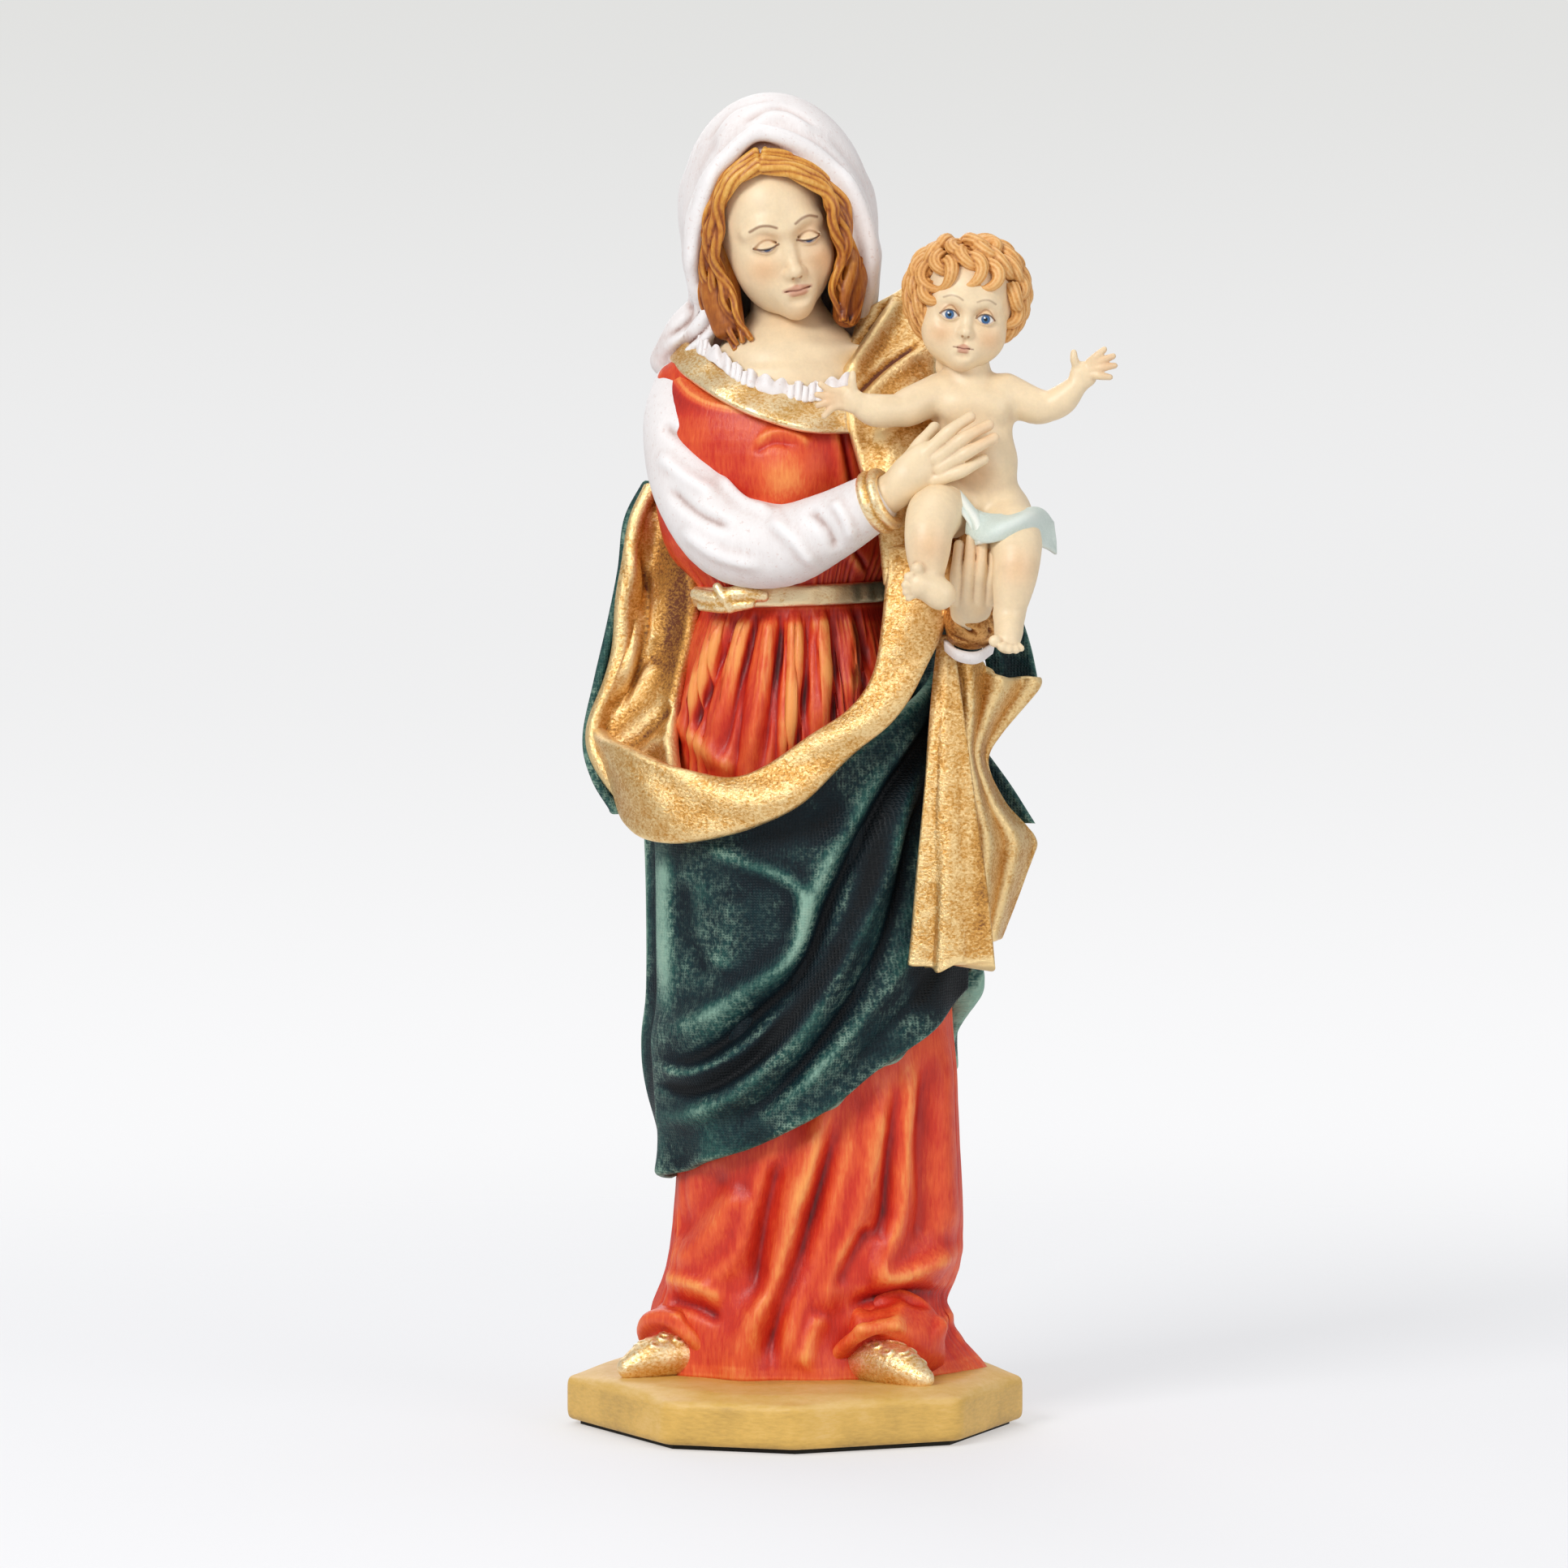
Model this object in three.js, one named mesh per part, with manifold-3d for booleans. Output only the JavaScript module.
// A painted resin statue of a standing Madonna with the Child on her left arm.
// Millimetres, +Z up, the figure faces -Y, and the origin is the centre of the base's underside.
import * as THREE from 'three';
import { mergeVertices } from 'three/addons/utils/BufferGeometryUtils.js';
import Module from 'manifold-3d';

const wasm = await Module();
wasm.setup();

// ---------------------------------------------------------------- driving dimensions
const GAP = 0.35;             // clearance between two castings that touch
const PLINTH = { radius: 90, bottom: 1.9, rim: 19, ground: 22, bevel: 1.2 };
const PLINTH_CORNERS = [-90, -34, 0, 45, 90, 135, 180, 225];   // degrees from the front corner
const FELT = { radius: 84, thickness: 1.5 };
const MOUND = { floor: 12, foot: 80, edge: 82, crown: 76, step: 0.4 };   // domed ground on the plinth
const SCREW = { spots: [[-18, 6], [30, 6]], head: 5, shank: 1.9, seat: 7, tip: 52,
  headHeight: 3, point: 6, end: 0.4 };
const SCREW_HOLE_FLOOR = -5;  // the hole for a screw is open through the plinth's underside
const DOWEL_RADIUS = 1.8;
const TUBE_END = 0.55;        // size of a tube's blunt end against its last section
const VEIL = { mouth: 62, radius: 40, wall: 4.5, stretch: [0.98, 0.95, 1.18], centre: [-5, -2, 472.5] };

// Body outlines: [height, left, right, front, back].
const DRESS = [
  [22.4, -55, 71, -37, 40], [43, -56, 57, -34, 40], [68, -49, 63.5, -33, 38], [125, -47, 62, -38, 38],
  [175, -47, 60, -40, 38], [215, -50, 56, -42, 38], [270, -49, 50, -43, 37], [304, -43, 42, -38, 34],
  [325, -36, 37, -34, 32], [345, -46, 44, -38, 34], [385, -50, 44, -45, 34], [400, -48, 43, -38, 33],
  [412, -44, 40, -31, 30], [422, -36, 36, -24, 26], [430, -22, 26, -16, 18],
];
const MANTLE = [
  [90, -54, 66, -43, 45], [113, -54.5, 67, -48, 46], [132, -57, 69, -50, 47], [151, -58, 70, -51, 47],
  [170, -56, 72, -52, 47], [208, -56, 70, -54, 47], [240, -57, 66, -56, 47], [262, -58, 62, -56, 46],
  [290, -56, 60, -54, 45], [320, -55, 60, -50, 44], [350, -57, 62, -48, 43], [380, -58, 62, -46, 42],
  [405, -56, 60, -40, 40], [425, -46, 54, -30, 34], [448, -34, 44, -22, 28],
];
// The cloak runs from the right hip across the front, round the back and on to the left arm.
// [degrees from the front, hem height, top height]; a positive angle is towards +X.
const MANTLE_EDGES = [
  [74, 172, 296], [40, 151, 278], [0, 121, 252], [-45, 105, 238], [-80, 98, 236], [-100, 96, 262],
  [-125, 96, 368], [-150, 98, 384], [-180, 102, 405], [-220, 118, 430], [-250, 148, 440], [-276, 184, 430],
];
const MANTLE_THICKNESS = 6;

// ---------------------------------------------------------------- shape tools
const vec = (p) => new THREE.Vector3(...p);
const mix = THREE.MathUtils.lerp;
const rad = THREE.MathUtils.degToRad;

// Moves every vertex of a three.js geometry.
function warp(geometry, place) {
  const position = geometry.getAttribute('position');
  const v = new THREE.Vector3();
  for (let i = 0; i < position.count; i++) {
    v.fromBufferAttribute(position, i);
    v.copy(place(v));
    position.setXYZ(i, v.x, v.y, v.z);
  }
  return geometry;
}

// A closed three.js geometry as a manifold-3d solid with its faces pointing out.
function solid(geometry) {
  const plain = geometry.clone();
  for (const name of ['normal', 'uv']) plain.deleteAttribute(name);
  const merged = mergeVertices(plain, 1e-3);
  const build = (triVerts) => new wasm.Manifold(
    new wasm.Mesh({ numProp: 3, vertProperties: merged.getAttribute('position').array, triVerts }));
  const triangles = new Uint32Array(merged.index.array);
  const made = build(triangles);
  return made.volume() < 0 ? build(triangles.reverse()) : made;
}

// A row table read at any key, straight lines between the rows.
function row(table, key) {
  const last = table.length - 1;
  const rising = table[last][0] > table[0][0];
  let i = 0;
  while (i < last - 1 && (rising ? key > table[i + 1][0] : key < table[i + 1][0])) i++;
  const t = THREE.MathUtils.clamp((key - table[i][0]) / (table[i + 1][0] - table[i][0]), 0, 1);
  return table[i].map((value, k) => mix(value, table[i + 1][k], t));
}

// The point of a body outline at an angle from the front, moved out by lift.
function outline(stations, angle, height, lift = 0) {
  const [, left, right, front, back] = row(stations, height);
  const across = Math.sin(angle), ahead = Math.cos(angle);
  const x = across > 0 ? (right + lift) * across : -(left - lift) * across;
  const y = ahead > 0 ? (front - lift) * ahead : -(back + lift) * ahead;
  return new THREE.Vector3(x, y, height);
}

// A solid whose level sections are given by stations.
function loft(stations, { grow = 0, segments = 24 } = {}) {
  const rows = stations.length - 1;
  return warp(new THREE.CylinderGeometry(1, 1, 1, segments, rows), (v) => {
    const k = Math.round((v.y + 0.5) * rows);
    const out = Math.hypot(v.x, v.z);
    const p = outline(stations, Math.atan2(v.x, v.z), stations[k][0], grow);
    const middle = outline(stations, 0, stations[k][0]).setY(0);
    const end = k === 0 ? -grow : k === rows ? grow : 0;
    return middle.lerp(p, out).setZ(p.z + end);
  });
}

// A round or flattened tube along points, with a radius at each point and blunt ends.
// wide and thick scale the section along the two directions that up sets.
function tube(points, radii, options) {
  const { grow, segments = 8, steps = 2, wide = 1, thick = 1, up = [0, 0, 1] } = options;
  const curve = new THREE.CatmullRomCurve3(points.map(vec), false, 'catmullrom', 0.5);
  const rows = (points.length - 1) * steps + 2;
  return warp(new THREE.CylinderGeometry(1, 1, 1, segments, rows), (v) => {
    const k = Math.round((v.y + 0.5) * rows);
    const atEnd = k === 0 || k === rows;
    const t = THREE.MathUtils.clamp((k - 1) / (rows - 2), 0, 1);
    const u = t * (radii.length - 1);
    const i = Math.min(Math.floor(u), radii.length - 2);
    const r = mix(radii[i], radii[i + 1], u - i);
    const tangent = curve.getTangent(t);
    const side = tangent.clone().cross(vec(up)).normalize();
    const other = side.clone().cross(tangent).normalize();
    const size = atEnd ? TUBE_END : 1;
    const beyond = atEnd ? (k === 0 ? -1 : 1) * ((1 - TUBE_END) * r * Math.min(wide, thick) + grow) : 0;
    return curve.getPoint(t)
      .addScaledVector(side, v.x * (size * r * wide + grow))
      .addScaledVector(other, v.z * (size * r * thick + grow))
      .addScaledVector(tangent, beyond);
  });
}

function ellipsoid(centre, radii, { grow = 0, turn = [0, 0, 0], segments = 12 } = {}) {
  const [a, b, c] = radii.map((r) => r + grow);
  return new THREE.SphereGeometry(1, segments, Math.round(segments * 0.6))
    .rotateX(Math.PI / 2)
    .scale(a, b, c)
    .applyMatrix4(new THREE.Matrix4().makeRotationFromEuler(new THREE.Euler(...turn.map(rad))))
    .translate(...centre);
}

// A thick sheet: at(s, t) gives the middle surface, facing(s, t) the way its thickness runs.
function sheet(at, facing, thickness, { grow = 0, across = 8, along = 12 } = {}) {
  return warp(new THREE.BoxGeometry(1, 1, 1, across, along, 1), (v) => {
    const s = v.x + 0.5, t = v.y + 0.5;
    return at(s, t).addScaledVector(facing(s, t), v.z * (thickness + 2 * grow));
  });
}

function joined(parts) {
  return parts.map(solid).reduce((all, one) => all.add(one));
}

// ---------------------------------------------------------------- base
function octagon(radius) {
  return new THREE.Shape(PLINTH_CORNERS.map((degrees) => new THREE.Vector2(
    radius * Math.sin(rad(degrees)), -radius * Math.cos(rad(degrees)))));
}

function plinthCasting(grow) {
  const { radius, bottom, rim, ground, bevel } = PLINTH;
  const depth = rim - bottom - 2 * bevel;
  const block = new THREE.ExtrudeGeometry(octagon(radius - bevel), {
    depth, bevelEnabled: true, bevelThickness: bevel, bevelSize: bevel, bevelSegments: 2,
  }).translate(0, 0, bottom + bevel);
  const { floor, foot, edge, crown, step } = MOUND;
  const domed = [[0, floor], [foot, floor], [edge, rim - step], [crown, ground], [0, ground]];
  const mound = new THREE.LatheGeometry(domed.map(([r, z]) => new THREE.Vector2(r, z)), 40)
    .rotateX(Math.PI / 2);
  const lifted = solid(block).add(solid(mound));
  return grow ? lifted.translate([0, 0, grow]) : lifted;
}

function feltPad() {
  const { radius, thickness: depth } = FELT;
  return solid(new THREE.ExtrudeGeometry(octagon(radius), { depth, bevelEnabled: false }));
}

// Wood screw, head down, with room for its head in the plinth.
function baseScrew([x, y], grow) {
  const { head, shank, seat, tip, headHeight, point, end } = SCREW;
  const low = grow ? SCREW_HOLE_FLOOR : seat - headHeight;
  const profile = [[0, low], [head + grow, low], [head + grow, seat], [shank + grow, seat + headHeight],
    [shank + grow, tip - point], [end + grow, tip + grow], [0, tip + grow]];
  return solid(new THREE.LatheGeometry(profile.map(([r, z]) => new THREE.Vector2(r, z)), 16)
    .rotateX(Math.PI / 2).translate(x, y, 0));
}

function dowel(from, to, grow) {
  const way = vec(to).sub(vec(from));
  const radius = DOWEL_RADIUS + grow;
  const pin = new THREE.CylinderGeometry(radius, radius, way.length() + 2 * grow, 12)
    .applyQuaternion(new THREE.Quaternion().setFromUnitVectors(new THREE.Vector3(0, 1, 0), way.normalize()));
  return solid(pin.translate(...vec(from).add(vec(to)).multiplyScalar(0.5).toArray()));
}

// ---------------------------------------------------------------- hands and feet
// A palm with five fingers; each finger is [root, middle, tip].
function hand(palm, palmRadii, palmTurn, fingers, fingerRadius, grow) {
  const parts = fingers.map((points) => tube(points,
    [fingerRadius, fingerRadius * 0.95, fingerRadius * 0.7], { grow, segments: 6, steps: 1 }));
  return joined([ellipsoid(palm, palmRadii, { grow, turn: palmTurn, segments: 12 }), ...parts]);
}

const rightHand = (grow) => hand([47, -68, 375], [14, 5, 8.5], [0, -32, 8], [
  [[37, -66, 366], [42, -67, 370], [48, -68, 375]],
  [[51, -69, 381], [59, -71.5, 389], [66.5, -70, 394.5]],
  [[54, -70, 378], [64, -72.5, 386], [73, -70, 391]],
  [[55, -70, 374.5], [66, -72.5, 381], [75, -70, 386]],
  [[54, -69, 370], [63, -71.5, 373], [71, -70, 378]],
  [[44, -64, 379], [49, -62, 386], [53, -61, 390]],
], 3.2, grow);

const leftHand = (grow) => hand([67, -54, 328], [9.5, 5, 9], [0, 4, 0], [
  [[60.5, -56, 330], [61, -59, 338], [62, -58, 345]],
  [[65, -57, 331], [66, -60, 340], [67.5, -59, 347]],
  [[69.5, -57, 331], [70.5, -60, 339], [71.5, -59, 346]],
  [[73.5, -56, 329], [74.5, -58, 336], [75, -57.5, 341]],
], 2.8, grow);

const shoe = (points, radii) => (grow) => solid(tube(points, radii, { grow, segments: 12, thick: 0.8 }));

// ---------------------------------------------------------------- the Child
const childHead = (grow) => joined([
  ellipsoid([65, -50, 439], [19, 20, 21], { grow, turn: [0, 6, 0] }),
  ellipsoid([64.5, -56, 425], [13, 12, 10.5], { grow }),
  tube([[66, -49, 404], [65.5, -50, 420]], [9, 8.5], { grow }),
]);

const childHair = (grow) => joined([
  ellipsoid([66, -43, 443.5], [24, 22, 20.5], { grow, turn: [0, 6, 0] }),
  ellipsoid([48, -47, 429], [7, 8, 8], { grow, segments: 10 }),
  ellipsoid([84, -44, 427], [8, 9, 9], { grow, segments: 10 }),
]);

const childTorso = (grow) => joined([
  ellipsoid([68, -49, 397], [17.5, 11.5, 14], { grow }),
  ellipsoid([70, -49, 376], [16, 13, 20], { grow }),
  ellipsoid([71, -50, 359], [17.5, 15, 11], { grow }),
]);

const childArm = (points, palm, turn, fingers) => (grow) => joined([
  tube(points, [8, 8, 6.8, 5], { grow, segments: 10 }),
  ellipsoid(palm, [5.2, 2.8, 5], { grow, turn }),
  ...fingers.map((finger) => tube(finger, [1.6, 1.2], { grow, segments: 6, steps: 1 })),
]);

const childRightArm = childArm(
  [[53, -52, 404], [42, -58, 397.5], [31, -63, 397], [23, -66, 399.5]], [20, -66.5, 401], [0, 10, -10], [
    [[17, -67, 403], [10, -68.5, 406]], [[16, -67, 401.5], [8.5, -68.5, 402.5]],
    [[16, -67, 399.5], [8.8, -68.5, 399]], [[17, -67, 397.5], [11, -68, 395]],
    [[22, -67, 404], [21.5, -68, 410]]]);

const childLeftArm = childArm(
  [[82, -50, 404], [92, -51, 398.5], [101, -53, 400], [107, -55, 405.5]], [110, -56, 410], [0, 30, 0], [
    [[112, -57, 414], [117.5, -58, 420]], [[114, -57, 412.5], [121, -58, 417.5]],
    [[115, -57, 410.5], [121.5, -58, 414]], [[114, -57, 407.5], [120, -58, 409.5]],
    [[107.5, -56, 413], [106, -57, 419]]]);

const childLeg = (points, foot, footRadii, turn) => (grow) => joined([
  tube(points, [10.5, 10.5, 9.5, 7], { grow, segments: 10 }),
  ellipsoid(foot, footRadii, { grow, turn, segments: 12 }),
]);

const childRightLeg = childLeg(
  [[58, -58, 357], [51.5, -76, 355], [50.5, -83, 345], [50.5, -82, 334]],
  [51, -87, 329], [9, 9, 6.5], [20, 0, 0]);
const childLeftLeg = childLeg(
  [[80, -56, 352], [83, -72, 346], [83.5, -78, 335], [81.5, -78, 322]],
  [79.5, -83, 313], [6.5, 10, 6], [35, 0, 0]);

const loincloth = (grow) => joined([
  tube([[56, -66, 363], [65, -67, 355], [76, -68, 352], [88, -68, 354], [95, -60, 352]],
    [3.6, 5, 6.4, 7, 5.5], { grow, wide: 0.45 }),
  tube([[93, -62, 352], [96.5, -60, 349], [96.5, -58, 343]], [6, 6, 5], { grow, segments: 8, wide: 0.5 }),
]);

// ---------------------------------------------------------------- the mother's head
const motherHead = (grow) => joined([
  ellipsoid([-7, -9, 471], [21, 25, 27], { grow, turn: [8, 14, 0] }),
  ellipsoid([-3, -21, 452], [13, 13, 12], { grow, turn: [0, 14, 0] }),
  tube([[-3, 2, 408], [-4, -2, 428], [-6, -4, 455]], [14, 12.5, 12], { grow, segments: 14 }),
  ellipsoid([-2, -6, 411], [31, 22, 15], { grow }),
]);

const LOCK_RADII = [5, 6.5, 6.5, 6, 4.5];
const HAIR_LOCKS = [
  [[-14, -29, 493], [-29, -26, 482], [-33, -22, 462], [-30, -22, 442], [-24, -25, 420]],
  [[-14, -29, 493], [6, -29, 487], [17.5, -22, 470], [20, -20, 450], [24, -20, 430]],
];
const hair = (grow) => joined([
  ...HAIR_LOCKS.map((points) => tube(points, LOCK_RADII, { grow, segments: 10, up: [0, 1, 0] })),
  ellipsoid([-8, -4, 479], [25.5, 27, 25], { grow }),
]);

// The veil is a bowl round the back of the head, with a fall on each shoulder.
function veil(grow) {
  const mouth = rad(VEIL.mouth);
  const arc = (radius, from, to) => Array.from({ length: 7 }, (_, i) => {
    const a = mix(from, to, i / 6);
    return new THREE.Vector2(Math.abs(Math.sin(a)) * radius, -Math.cos(a) * radius);
  });
  const outer = VEIL.radius + grow, inner = outer - VEIL.wall - 2 * grow;
  const profile = [...arc(outer, mouth, Math.PI), ...arc(inner, Math.PI, mouth)];
  profile.push(profile[0].clone());
  const bowl = new THREE.LatheGeometry(profile, 24).scale(...VEIL.stretch).translate(...VEIL.centre);
  return joined([
    bowl,
    tube([[-39, -8, 470], [-39, -6, 448], [-36, -4, 432], [-46, -2, 421], [-52, 4, 411]], [5, 6, 7, 8, 6],
      { grow, wide: 0.6, up: [1, 0, 0], segments: 10 }),
    tube([[29, -8, 470], [30, -4, 448], [26, 4, 434]], [5, 6, 5],
      { grow, wide: 0.6, up: [1, 0, 0], segments: 10 }),
    tube([[-5, 28, 462], [-8, 35, 430], [-10, 38, 402]], [25, 27, 19],
      { grow, thick: 0.22, up: [0, 1, 0], segments: 12 }),
  ]);
}

// ---------------------------------------------------------------- clothes
const sleeve = (grow) => solid(tube(
  [[-41, -2, 410], [-42, -10, 388], [-36, -24, 365], [-22, -38, 347], [-6, -47, 344], [12, -55, 352],
    [27, -62, 361]],
  [14, 16.5, 17, 17.5, 16, 13.5, 11.5], { grow, segments: 12 }));

const cuff = (grow) => solid(tube([[29.5, -62.5, 361.5], [35, -64.5, 363.5]], [12.5, 11.5],
  { grow, segments: 12, steps: 1 }));

const leftCuff = (grow) => solid(tube([[64, -42, 300], [66, -50, 311], [67, -53, 318]], [11, 10.5, 10],
  { grow, segments: 12, thick: 0.7 }));

const collarBand = (grow) => solid(tube(
  [[-43, -4, 421], [-29, -25, 411], [-7, -37, 400], [16, -42, 394]], [6, 6.5, 6.5, 6],
  { grow, wide: 0.35, segments: 8, up: [0, 0.5, 1] }));

const frill = (grow) => solid(tube(
  [[-25, -24, 416.5], [-7, -32, 408], [6, -34, 406], [21, -31, 411]], [2.2, 2.8, 2.8, 2.2], { grow }));

const belt = (grow) => solid(loft([
  [322.5, -38.5, 39.5, -36.5, 34.5], [330, -39.5, 39.5, -37, 34.5]], { grow }));

const dress = (grow) => solid(loft(DRESS, { grow }));

// ---------------------------------------------------------------- cloak
function mantleCloak(grow) {
  const first = MANTLE_EDGES[0][0], last = MANTLE_EDGES[MANTLE_EDGES.length - 1][0];
  const where = (s, t) => {
    const [angle, hem, top] = row(MANTLE_EDGES, mix(first, last, s));
    return [rad(angle), mix(hem, top, t)];
  };
  const at = (s, t) => outline(MANTLE, ...where(s, t), -MANTLE_THICKNESS / 2);
  const facing = (s) => {
    const a = rad(mix(first, last, s));
    return new THREE.Vector3(Math.sin(a), -Math.cos(a), 0);
  };
  return solid(sheet(at, facing, MANTLE_THICKNESS, { grow, across: 26, along: 6 }));
}

// Gold turned-back edge: over the left shoulder, down the chest, then across the hips to the right side.
const mantleLapel = (grow) => solid(tube(
  [[40, 4, 444], [40, -18, 420], [34, -37, 397], [40, -45, 372], [44, -49, 345], [45.5, -51, 318]],
  [11, 15, 15, 14, 12.5, 12], { grow, segments: 10, wide: 0.3, up: [1, 0, 0] }));

const mantleBorder = (grow) => solid(tube(
  [[44.5, -54, 312], [36, -59, 288], [14, -62, 265], [-12, -60, 250], [-36, -52, 246], [-58, -34, 247],
    [-70, -10, 256]],
  [11.5, 12, 13, 12.5, 13, 14, 12], { grow, segments: 10, wide: 0.3 }));

// The lining seen behind the right arm, where the cloak stands away from the back.
function mantleFlap(grow) {
  const outer = new THREE.CatmullRomCurve3([[-66, -4, 250], [-78, 0, 269], [-73, 2, 291], [-68, 4, 312],
    [-65, 6, 335], [-63, 8, 352], [-56, 10, 364]].map(vec));
  const inner = new THREE.CatmullRomCurve3([[-52, 14, 246], [-50, 20, 290], [-49, 22, 362]].map(vec));
  const at = (s, t) => outer.getPoint(t).lerp(inner.getPoint(t), s);
  const facing = () => new THREE.Vector3(0.45, 0.9, 0).normalize();
  return solid(sheet(at, facing, 4, { grow, across: 3, along: 8 }));
}

const cascadeFront = (grow) => solid(tube(
  [[57, -48, 306], [58, -53, 270], [59.5, -54, 230], [60.5, -52, 186]], [3.5, 7.5, 11, 14.5],
  { grow, segments: 12, thick: 0.55, up: [0, 1, 0] }));

function cascadeRear(grow) {
  const edge = new THREE.CatmullRomCurve3([[78, -8, 192], [92, -4, 220], [92, -4, 230], [81, -6, 243],
    [74, -8, 260], [80, -8, 273], [93, -6, 288], [90, -6, 308]].map(vec));
  const root = new THREE.CatmullRomCurve3([[72, -24, 190], [68, -30, 240], [66, -32, 304]].map(vec));
  const at = (s, t) => edge.getPoint(t).lerp(root.getPoint(t), s);
  const facing = () => new THREE.Vector3(0.3, -1, 0).normalize();
  return solid(sheet(at, facing, 5, { grow, across: 3, along: 14 }));
}

// ---------------------------------------------------------------- assembly
const MATERIALS = {
  felt: ['#3c4a3a', 1, 0], steel: ['#9a9a9a', 0.35, 1], plinth: ['#b69850', 0.6, 0],
  red: ['#c8402a', 0.55, 0], blue: ['#1d4a4e', 0.55, 0], gold: ['#c99a45', 0.35, 0.8],
  white: ['#e9e2dd', 0.6, 0], flesh: ['#dfb98c', 0.55, 0],
  hair: ['#b3662a', 0.55, 0], childHair: ['#c98845', 0.55, 0], cloth: ['#bccdc4', 0.6, 0],
};

const [screwLeft, screwRight] = SCREW.spots.map((spot) => (grow) => baseScrew(spot, grow));
const rightWristDowel = (grow) => dowel([22, -59.5, 357.5], [46, -67.5, 373], grow);
const leftWristDowel = (grow) => dowel([65, -50, 306], [66.8, -54, 326], grow);
const childDowel = (grow) => dowel([70, -50, 330], [70.5, -49, 372], grow);

// [group, node, material, shape]. Each piece is cut to clear all the pieces above it in this list.
const PIECES = [
  ['base', 'felt_pad', 'felt', feltPad],
  ['base', 'base_screw_left', 'steel', screwLeft],
  ['base', 'base_screw_right', 'steel', screwRight],
  ['mother', 'right_wrist_dowel', 'steel', rightWristDowel],
  ['mother', 'left_wrist_dowel', 'steel', leftWristDowel],
  ['child', 'child_dowel', 'steel', childDowel],
  ['base', 'plinth', 'plinth', plinthCasting],
  ['mother', 'right_hand', 'flesh', rightHand],
  ['mother', 'left_hand', 'flesh', leftHand],
  ['child', 'child_head', 'flesh', childHead],
  ['child', 'child_right_arm', 'flesh', childRightArm],
  ['child', 'child_left_arm', 'flesh', childLeftArm],
  ['child', 'child_right_leg', 'flesh', childRightLeg],
  ['child', 'child_left_leg', 'flesh', childLeftLeg],
  ['child', 'loincloth', 'cloth', loincloth],
  ['child', 'child_torso', 'flesh', childTorso],
  ['child', 'child_hair', 'childHair', childHair],
  ['mother', 'frill', 'white', frill],
  ['mother', 'collar_band', 'gold', collarBand],
  ['mother', 'mother_head', 'flesh', motherHead],
  ['mother', 'mother_hair', 'hair', hair],
  ['mother', 'right_cuff', 'gold', cuff],
  ['mother', 'right_sleeve', 'white', sleeve],
  ['mother', 'left_cuff', 'white', leftCuff],
  ['mother', 'left_shoe', 'gold', shoe([[26, -16, 31], [36, -32, 29.5], [48, -47, 26]], [9, 9, 5.5])],
  ['mother', 'right_shoe', 'gold', shoe([[-40, 6, 31], [-54, 8, 30], [-66, 12, 26.5]], [8.5, 8.5, 5.5])],
  ['cloak', 'mantle_lapel', 'gold', mantleLapel],
  ['cloak', 'mantle_border', 'gold', mantleBorder],
  ['cloak', 'cascade_front', 'gold', cascadeFront],
  ['mother', 'dress', 'red', dress],
  ['mother', 'belt', 'gold', belt],
  ['cloak', 'mantle_flap', 'gold', mantleFlap],
  ['cloak', 'cascade_rear', 'gold', cascadeRear],
  ['cloak', 'mantle', 'blue', mantleCloak],
  ['mother', 'veil', 'white', veil],
];

// The mesh of a solid, with its geometry about its own middle and its place in its position.
function meshOf(name, made, material) {
  const { vertProperties, triVerts, numProp, numVert } = made.getMesh();
  const points = new Float32Array(numVert * 3);
  for (let i = 0; i < numVert; i++) points.set(vertProperties.subarray(i * numProp, i * numProp + 3), i * 3);
  const geometry = new THREE.BufferGeometry();
  geometry.setAttribute('position', new THREE.BufferAttribute(points, 3));
  geometry.setIndex(new THREE.BufferAttribute(triVerts, 1));
  geometry.computeBoundingBox();
  const middle = geometry.boundingBox.getCenter(new THREE.Vector3()).round();
  geometry.translate(-middle.x, -middle.y, -middle.z).computeVertexNormals();
  const [color, roughness, metalness] = MATERIALS[material];
  const mesh = new THREE.Mesh(geometry, new THREE.MeshStandardMaterial({ color, roughness, metalness }));
  mesh.name = name;
  mesh.position.copy(middle);
  return mesh;
}

// A casting is one body; cuts that part it are a fault in the shapes.
function oneBody(name, made) {
  const bodies = made.decompose();
  if (bodies.length !== 1) throw new Error(`${name} is cut into ${bodies.length} bodies`);
  return bodies[0];
}

const statue = new THREE.Group();
const groups = {};
const cutters = [];
for (const [group, name, material, shape] of PIECES) {
  const cut = cutters.reduce((left, cutter) => left.subtract(cutter), shape(0));
  cutters.push(shape(GAP));
  if (!groups[group]) {
    groups[group] = new THREE.Group();
    statue.add(groups[group]);
  }
  groups[group].add(meshOf(name, oneBody(name, cut), material));
}

export default statue;
